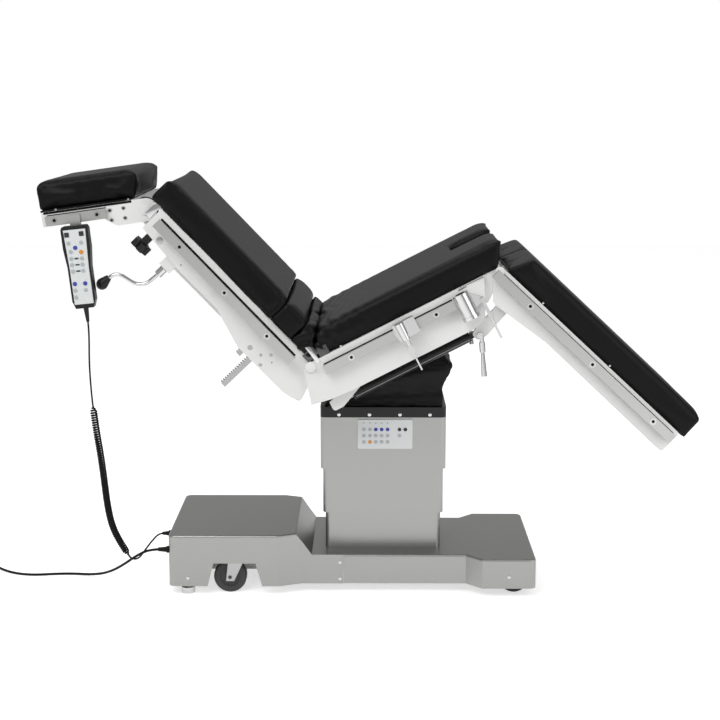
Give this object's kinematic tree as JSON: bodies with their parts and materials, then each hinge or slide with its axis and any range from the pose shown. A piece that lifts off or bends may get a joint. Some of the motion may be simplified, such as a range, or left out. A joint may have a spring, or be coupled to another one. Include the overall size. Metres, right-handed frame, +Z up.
{
  "type": "operating table",
  "caption": "Mobile operating table with a telescopic column, tilting seat frame, hinged back, head and split leg sections, kidney bridge, side rails and corded handset.",
  "frame": {"origin": "on the floor, midway along the table's length and width at rest", "axes": "X from the head end to the foot end, Y from the near side to the far side, Z up"},
  "size_m": [2.0502, 0.629, 1.1392],
  "materials": {
    "steel": "brushed",
    "paint": "semi-gloss",
    "zinc": "satin",
    "chrome": "polished",
    "black_plastic": "matt",
    "black_metal": "satin",
    "rubber": "matt",
    "leatherette": "soft sheen",
    "grey_plastic": "matt",
    "light_plastic": "matt",
    "tyre": "matt"
  },
  "bodies": {
    "base": {"base_chassis": "paint", "base_head_cover": "steel", "base_deck_cover": "steel", "column_lower_cover": "steel", "mast_outer": "paint", "power_unit": "black_plastic", "cable_glands": "rubber", "mains_cord": "rubber", "mains_coil": "rubber", "mains_plug": "black_plastic", "handset_curl": "rubber", "handset_lead": "rubber"},
    "column_middle": {"column_middle_stage": "steel"},
    "column_upper": {"column_upper_cover": "steel", "mast_inner": "paint", "control_panel": "grey_plastic", "gaiter": "rubber"},
    "yoke": {"tilt_yoke": "zinc"},
    "seat": {"seat_frame": "paint", "seat_rails": "steel", "seat_pad": "leatherette", "rail_clamps": "chrome"},
    "back": {"back_frame": "paint", "back_rails": "steel", "back_pad": "leatherette", "kidney_gearbox": "black_plastic"},
    "kidney": {"kidney_bridge": "zinc", "kidney_pad": "leatherette"},
    "kidney_pinions": {"kidney_pinions": "zinc"},
    "kidney_crank": {"kidney_crank": "black_plastic"},
    "head": {"head_frame": "paint", "head_rails": "steel", "head_pad": "leatherette", "handset_shell": "light_plastic", "handset_keypad": "grey_plastic"},
    "head_knob": {"head_knob": "black_plastic"},
    "clamp_screw": {"clamp_screw": "chrome"},
    "brake_feet": {"brake_feet": "chrome"},
    "leg_near": {"leg_frame_near": "paint", "leg_rail_near": "steel", "leg_pad_near": "leatherette"},
    "strut_rod_near": {"strut_rod_near": "zinc"},
    "strut_cylinder_near": {"strut_cylinder_near": "black_metal"},
    "socket_lever_near": {"socket_lever_near": "chrome"},
    "release_lever_near": {"release_lever_near": "black_plastic"},
    "fork_head_near": {"caster_fork_head_near": "zinc"},
    "wheel_head_near": {"caster_wheel_head_near": "tyre"},
    "fork_foot_near": {"caster_fork_foot_near": "zinc"},
    "wheel_foot_near": {"caster_wheel_foot_near": "tyre"},
    "leg_far": {"leg_frame_far": "paint", "leg_rail_far": "steel", "leg_pad_far": "leatherette"},
    "strut_rod_far": {"strut_rod_far": "zinc"},
    "strut_cylinder_far": {"strut_cylinder_far": "black_metal"},
    "socket_lever_far": {"socket_lever_far": "chrome"},
    "release_lever_far": {"release_lever_far": "black_plastic"},
    "fork_head_far": {"caster_fork_head_far": "zinc"},
    "wheel_head_far": {"caster_wheel_head_far": "tyre"},
    "fork_foot_far": {"caster_fork_foot_far": "zinc"},
    "wheel_foot_far": {"caster_wheel_foot_far": "tyre"}
  },
  "joints": [
    {"name": "middle_slide", "type": "slide", "parent": "base", "child": "column_middle", "axis": [0, 0, 1], "range_m": [-0.0926, 0.0326]},
    {"name": "lift_slide", "type": "slide", "parent": "base", "child": "column_upper", "axis": [0, 0, 1], "range_m": [-0.185, 0.065]},
    {"name": "trend_hinge", "type": "hinge", "parent": "column_upper", "child": "yoke", "pos_m": [0.0388, 0, 0.5892], "axis": [0, 1, 0], "range_deg": [0, 32], "deforming": ["gaiter"]},
    {"name": "roll_hinge", "type": "hinge", "parent": "yoke", "child": "seat", "pos_m": [0.0388, 0, 0.5892], "axis": [0.8902, 0, 0.4555], "range_deg": [-18, 18]},
    {"name": "back_hinge", "type": "hinge", "parent": "seat", "child": "back", "pos_m": [-0.1508, 0, 0.6411], "axis": [0, -1, 0], "range_deg": [-6, 72.5], "deforming": ["handset_curl"]},
    {"name": "neck_hinge", "type": "hinge", "parent": "back", "child": "head", "pos_m": [-0.57522, 0, 1.04368], "axis": [0, -1, 0], "range_deg": [-53, 36], "deforming": ["handset_lead"]},
    {"name": "leg_near_hinge", "type": "hinge", "parent": "seat", "child": "leg_near", "pos_m": [0.33526, 0, 0.88983], "axis": [0, -1, 0], "range_deg": [0, 70]},
    {"name": "strut_near_swing", "type": "hinge", "parent": "seat", "child": "strut_rod_near", "pos_m": [-0.08389, -0.21, 0.53493], "axis": [0, -1, 0], "range_deg": [-3, 0]},
    {"name": "strut_near_slide", "type": "slide", "parent": "strut_rod_near", "child": "strut_cylinder_near", "axis": [0.8902, 0, 0.4555], "range_m": [0, 0.197]},
    {"name": "socket_lever_near_turn", "type": "hinge", "parent": "seat", "child": "socket_lever_near", "pos_m": [0.29038, -0.278, 0.81968], "axis": [0, 1, 0], "range_deg": [-30, 30]},
    {"name": "release_near_turn", "type": "hinge", "parent": "leg_near", "child": "release_lever_near", "pos_m": [0.28769, -0.21, 0.72507], "axis": [0, 1, 0], "range_deg": [0, 30], "stiffness_Nm_per_rad": 0.6},
    {"name": "leg_far_hinge", "type": "hinge", "parent": "seat", "child": "leg_far", "pos_m": [0.33526, 0, 0.88983], "axis": [0, -1, 0], "range_deg": [0, 70]},
    {"name": "strut_far_swing", "type": "hinge", "parent": "seat", "child": "strut_rod_far", "pos_m": [-0.08389, 0.21, 0.53493], "axis": [0, -1, 0], "range_deg": [-3, 0]},
    {"name": "strut_far_slide", "type": "slide", "parent": "strut_rod_far", "child": "strut_cylinder_far", "axis": [0.8902, 0, 0.4555], "range_m": [0, 0.197]},
    {"name": "socket_lever_far_turn", "type": "hinge", "parent": "seat", "child": "socket_lever_far", "pos_m": [0.29038, 0.278, 0.81968], "axis": [0, 1, 0], "range_deg": [-30, 30]},
    {"name": "release_far_turn", "type": "hinge", "parent": "leg_far", "child": "release_lever_far", "pos_m": [0.28769, 0.21, 0.72507], "axis": [0, 1, 0], "range_deg": [0, 30], "stiffness_Nm_per_rad": 0.6},
    {"name": "kidney_lift", "type": "slide", "parent": "back", "child": "kidney", "axis": [0.7225, 0, 0.6914], "range_m": [0, 0.05]},
    {"name": "pinion_spin", "type": "hinge", "parent": "back", "child": "kidney_pinions", "pos_m": [-0.30802, 0, 0.68968], "axis": [0, -1, 0], "range_deg": [0, 213]},
    {"name": "crank_spin", "type": "hinge", "parent": "back", "child": "kidney_crank", "pos_m": [-0.54557, -0.226, 0.87717], "axis": [0.7225, 0, 0.6914], "range_deg": [0, 1442]},
    {"name": "head_knob_turn", "type": "hinge", "parent": "back", "child": "head_knob", "pos_m": [-0.57365, -0.205, 0.96726], "axis": [0.7225, 0, 0.6914], "range_deg": [-180, 180]},
    {"name": "clamp_screw_turn", "type": "hinge", "parent": "seat", "child": "clamp_screw", "pos_m": [0.10443, -0.302, 0.70431], "axis": [-0.4555, 0, 0.8902], "range_deg": [-180, 180]},
    {"name": "brake_feet_slide", "type": "slide", "parent": "base", "child": "brake_feet", "axis": [0, 0, 1], "range_m": [0, 0.014]},
    {"name": "head_near_swivel", "type": "hinge", "parent": "base", "child": "fork_head_near", "pos_m": [-0.3565, -0.165, 0.08], "axis": [0, 0, 1], "continuous": true},
    {"name": "head_near_spin", "type": "hinge", "parent": "fork_head_near", "child": "wheel_head_near", "pos_m": [-0.3765, -0.165, 0.0445], "axis": [0, 1, 0], "continuous": true},
    {"name": "head_far_swivel", "type": "hinge", "parent": "base", "child": "fork_head_far", "pos_m": [-0.3565, 0.165, 0.08], "axis": [0, 0, 1], "continuous": true},
    {"name": "head_far_spin", "type": "hinge", "parent": "fork_head_far", "child": "wheel_head_far", "pos_m": [-0.3765, 0.165, 0.0445], "axis": [0, 1, 0], "continuous": true},
    {"name": "foot_near_swivel", "type": "hinge", "parent": "base", "child": "fork_foot_near", "pos_m": [0.3815, -0.155, 0.08], "axis": [0, 0, 1], "continuous": true},
    {"name": "foot_near_spin", "type": "hinge", "parent": "fork_foot_near", "child": "wheel_foot_near", "pos_m": [0.3955, -0.155, 0.039], "axis": [0, 1, 0], "continuous": true},
    {"name": "foot_far_swivel", "type": "hinge", "parent": "base", "child": "fork_foot_far", "pos_m": [0.3815, 0.155, 0.08], "axis": [0, 0, 1], "continuous": true},
    {"name": "foot_far_spin", "type": "hinge", "parent": "fork_foot_far", "child": "wheel_foot_far", "pos_m": [0.3955, 0.155, 0.039], "axis": [0, 1, 0], "continuous": true}
  ],
  "couplings": [
    {"joint": "middle_slide", "follows": "lift_slide", "ratio": 0.5},
    {"joint": "pinion_spin", "follows": "kidney_lift", "rad_per_m": 74.074},
    {"joint": "crank_spin", "follows": "kidney_lift", "rad_per_m": 502.65},
    {"joint": "strut_near_swing", "follows": "leg_near_hinge", "ratio": -0.0376},
    {"joint": "strut_near_slide", "follows": "leg_near_hinge", "m_per_rad": 0.1599},
    {"joint": "strut_far_swing", "follows": "leg_far_hinge", "ratio": -0.0376},
    {"joint": "strut_far_slide", "follows": "leg_far_hinge", "m_per_rad": 0.1599}
  ]
}
